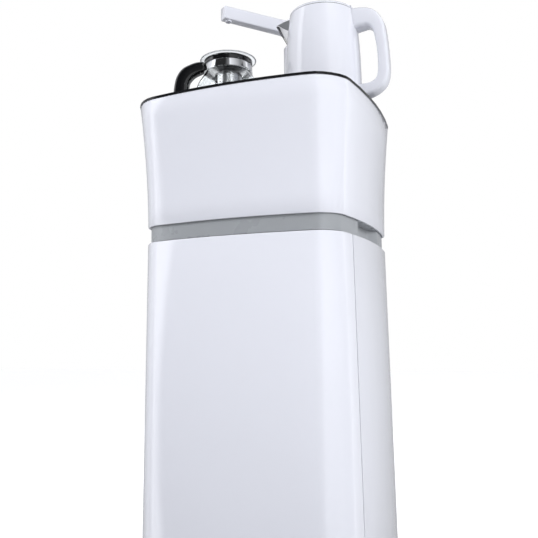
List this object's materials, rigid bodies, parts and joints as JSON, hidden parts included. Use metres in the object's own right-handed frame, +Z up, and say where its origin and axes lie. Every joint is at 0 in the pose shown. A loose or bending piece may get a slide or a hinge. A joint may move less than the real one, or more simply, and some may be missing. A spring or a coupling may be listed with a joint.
{
  "type": "bottom-loading hot water dispenser",
  "caption": "Floor-standing bottle cabinet with hinged front door, waisted body and black glass worktop carrying a swivelling filler arm, electric kettle and glass teapot",
  "frame": {"origin": "on the floor, under the middle of the waist section between the four feet", "axes": "+Z up from the floor to the worktop, -Y towards the front door, +X to the right seen from the front"},
  "size_m": [0.3774, 0.3467, 1.0405],
  "materials": {
    "gloss_white": "high gloss injection-moulded ABS, pearl white",
    "black_glass": "tempered black worktop glass, polished edge",
    "waist_grey": "satin light grey",
    "dark_grey": "fine-textured dark grey",
    "rubber": "matt black rubber",
    "galvanised": "galvanised sheet steel",
    "powder_coat": "white powder coat",
    "inner_plastic": "light grey moulded plastic",
    "screw_steel": "zinc-plated",
    "hose": "translucent silicone",
    "steel": "brushed stainless",
    "polished": "mirror-polished stainless",
    "black_gloss": "gloss black",
    "black_matte": "matt black",
    "clear_glass": "clear borosilicate",
    "board": "green circuit board",
    "element": "cast aluminium",
    "red": "translucent red",
    "acetal": "natural acetal",
    "seal": "grey food-grade silicone"
  },
  "bodies": {
    "cabinet": {"base_tray": "dark_grey", "feet": "rubber", "side_panel_left": "gloss_white", "side_panel_right": "gloss_white", "back_panel": "powder_coat", "back_screws": "screw_steel", "bottle_platform": "inner_plastic", "shelf": "galvanised", "waist_band": "waist_grey", "upper_shroud": "gloss_white", "top_frame": "inner_plastic", "worktop_glass": "black_glass", "hinge_bracket_top": "galvanised", "hinge_bracket_bottom": "galvanised", "magnet_catch": "inner_plastic", "probe_clip": "inner_plastic", "bottle_probe": "hose", "suction_hose": "hose", "hose_grommet": "rubber", "pump_motor": "element", "pump_head": "black_matte", "pump_bracket": "galvanised", "delivery_hose": "hose", "power_board": "board", "touch_board": "board", "wiring_loom": "black_matte", "cord_gland": "rubber", "switch_housing": "black_matte", "kettle_base": "inner_plastic", "kettle_coupler": "black_matte", "warming_plate": "black_gloss", "warming_element": "element", "filler_column": "gloss_white", "column_nut": "inner_plastic", "swivel_bush": "acetal"},
    "rocker": {"power_rocker": "red"},
    "door": {"door_shell": "gloss_white", "door_liner": "inner_plastic", "door_bushes": "acetal", "door_striker": "screw_steel"},
    "filler_arm": {"arm_shell": "gloss_white", "arm_cover": "gloss_white", "arm_spigot": "inner_plastic", "arm_tube": "hose", "outlet_nozzle": "gloss_white"},
    "kettle": {"kettle_shell": "gloss_white", "kettle_pot": "steel", "kettle_foot": "dark_grey", "kettle_handle": "gloss_white", "lid_pin": "screw_steel"},
    "kettle_lid": {"lid_cap": "gloss_white", "lid_plug": "steel", "lid_seal": "seal"},
    "release_button": {"lid_button": "inner_plastic"},
    "teapot": {"teapot_glass": "clear_glass", "teapot_collar": "polished", "teapot_handle": "black_gloss"},
    "strainer": {"tea_strainer": "steel"},
    "teapot_cover": {"teapot_lid": "black_gloss"}
  },
  "joints": [
    {"name": "door_hinge", "type": "hinge", "parent": "cabinet", "child": "door", "pos_m": [-0.14396, -0.124, 0.30165], "axis": [0, 0, -1], "range_deg": [0, 105]},
    {"name": "arm_swivel", "type": "hinge", "parent": "cabinet", "child": "filler_arm", "pos_m": [-0.002, 0.134, 0.997], "axis": [0, 0, -1], "range_deg": [-77, 52]},
    {"name": "kettle_lift", "type": "slide", "parent": "cabinet", "child": "kettle", "axis": [0, 0, 1], "range_m": [0, 0.08]},
    {"name": "kettle_lid_hinge", "type": "hinge", "parent": "kettle", "child": "kettle_lid", "pos_m": [0.1365, 0.024, 0.9917], "axis": [0, 1, 0], "range_deg": [0, 85]},
    {"name": "lid_button_press", "type": "slide", "parent": "kettle", "child": "release_button", "axis": [0, 0, -1], "range_m": [0, 0.002], "stiffness_N_per_m": 300},
    {"name": "teapot_lift", "type": "slide", "parent": "cabinet", "child": "teapot", "axis": [0, 0, 1], "range_m": [0, 0.06]},
    {"name": "teapot_lid_lift", "type": "slide", "parent": "teapot", "child": "teapot_cover", "axis": [0, 0, 1], "range_m": [0, 0.064]},
    {"name": "strainer_lift", "type": "slide", "parent": "teapot", "child": "strainer", "axis": [0, 0, 1], "range_m": [0, 0.0352]},
    {"name": "rocker_tilt", "type": "hinge", "parent": "cabinet", "child": "rocker", "pos_m": [-0.075, 0.14969, 0.5413], "axis": [1, 0, 0], "range_deg": [-18, 0]}
  ],
  "couplings": [
    {"joint": "strainer_lift", "follows": "teapot_lid_lift", "ratio": 0.55}
  ]
}
